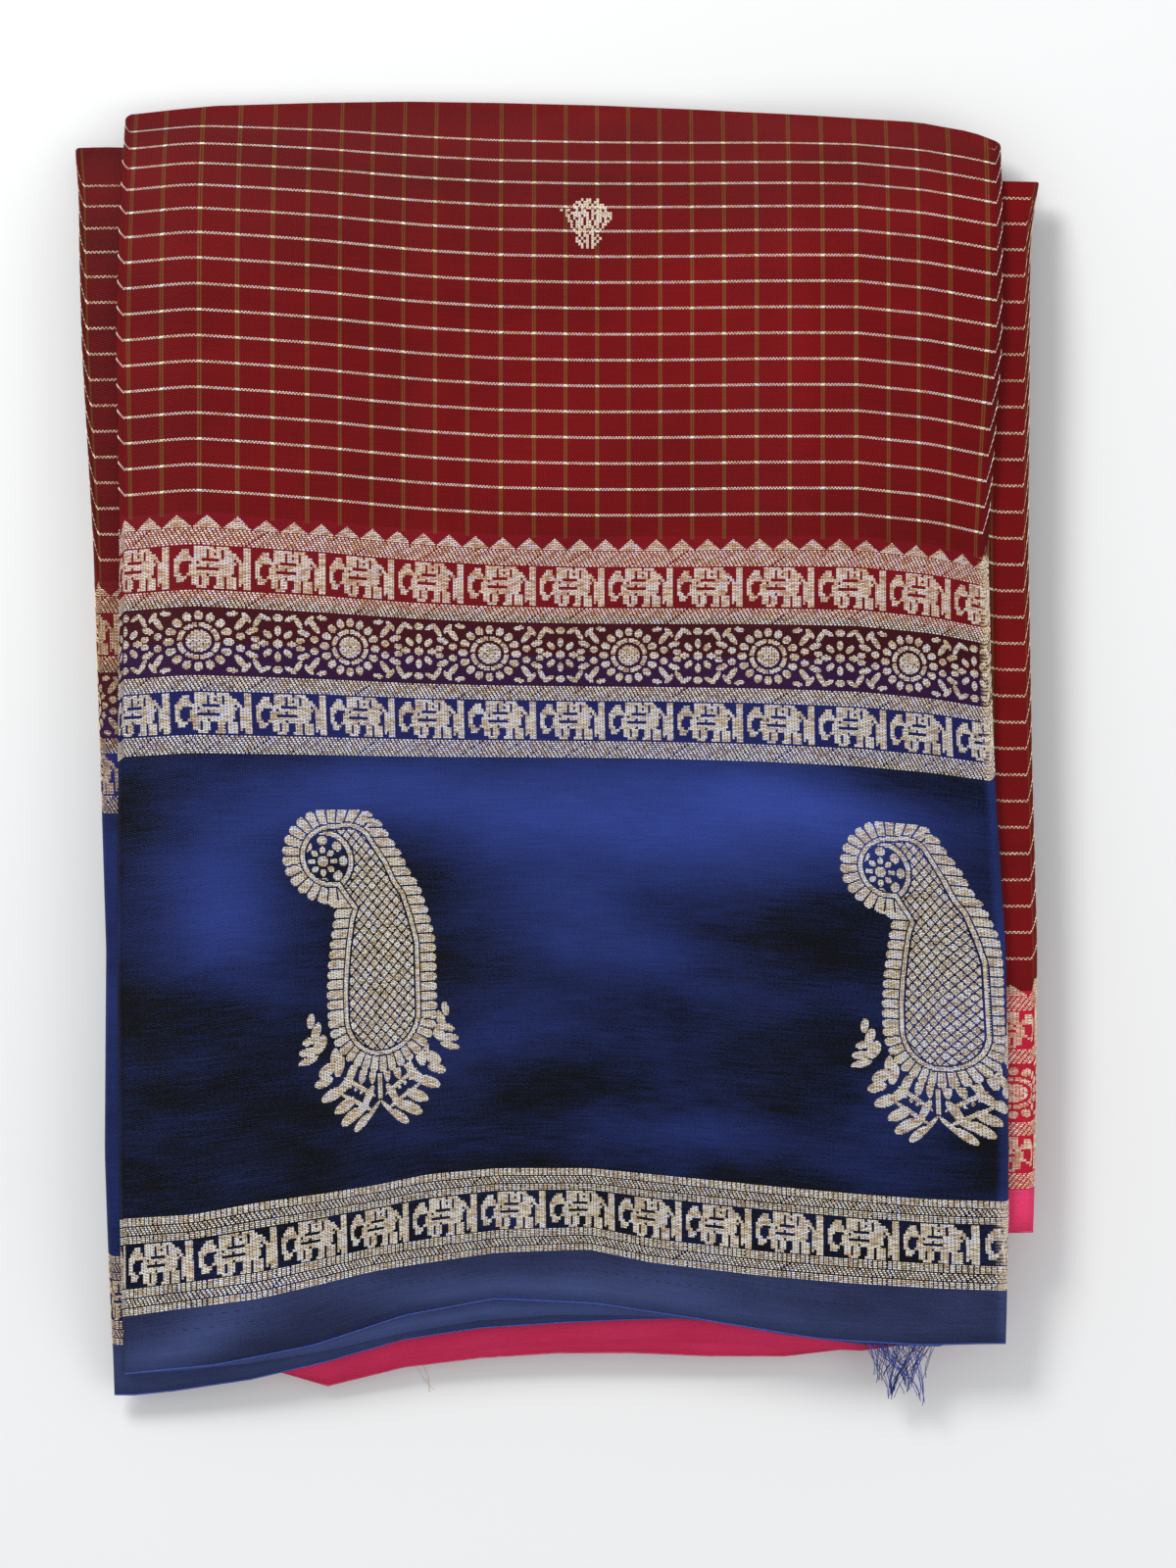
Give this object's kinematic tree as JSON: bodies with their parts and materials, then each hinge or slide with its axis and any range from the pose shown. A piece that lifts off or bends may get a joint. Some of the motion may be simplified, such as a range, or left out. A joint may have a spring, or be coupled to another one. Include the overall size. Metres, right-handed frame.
{
  "type": "folded sari",
  "caption": "Silk sari, folded into a flat stack: red gold-checked body, a blue end with gold paisleys, elephant and flower borders, stitched hems and a tuft of blue end threads.",
  "frame": {"origin": "middle of the bounding box's bottom face, on the surface that the sari lies on", "axes": "+Z up, out of the front face; +Y towards the fold across the cloth's width; +X right as seen from the front with +Y up"},
  "size_m": [0.4792, 0.6476, 0.0455],
  "materials": {
    "sari_silk": "satin",
    "end_threads": "satin"
  },
  "bodies": {
    "root": {"sari_cloth": "sari_silk", "end_threads": "end_threads"}
  },
  "joints": []
}
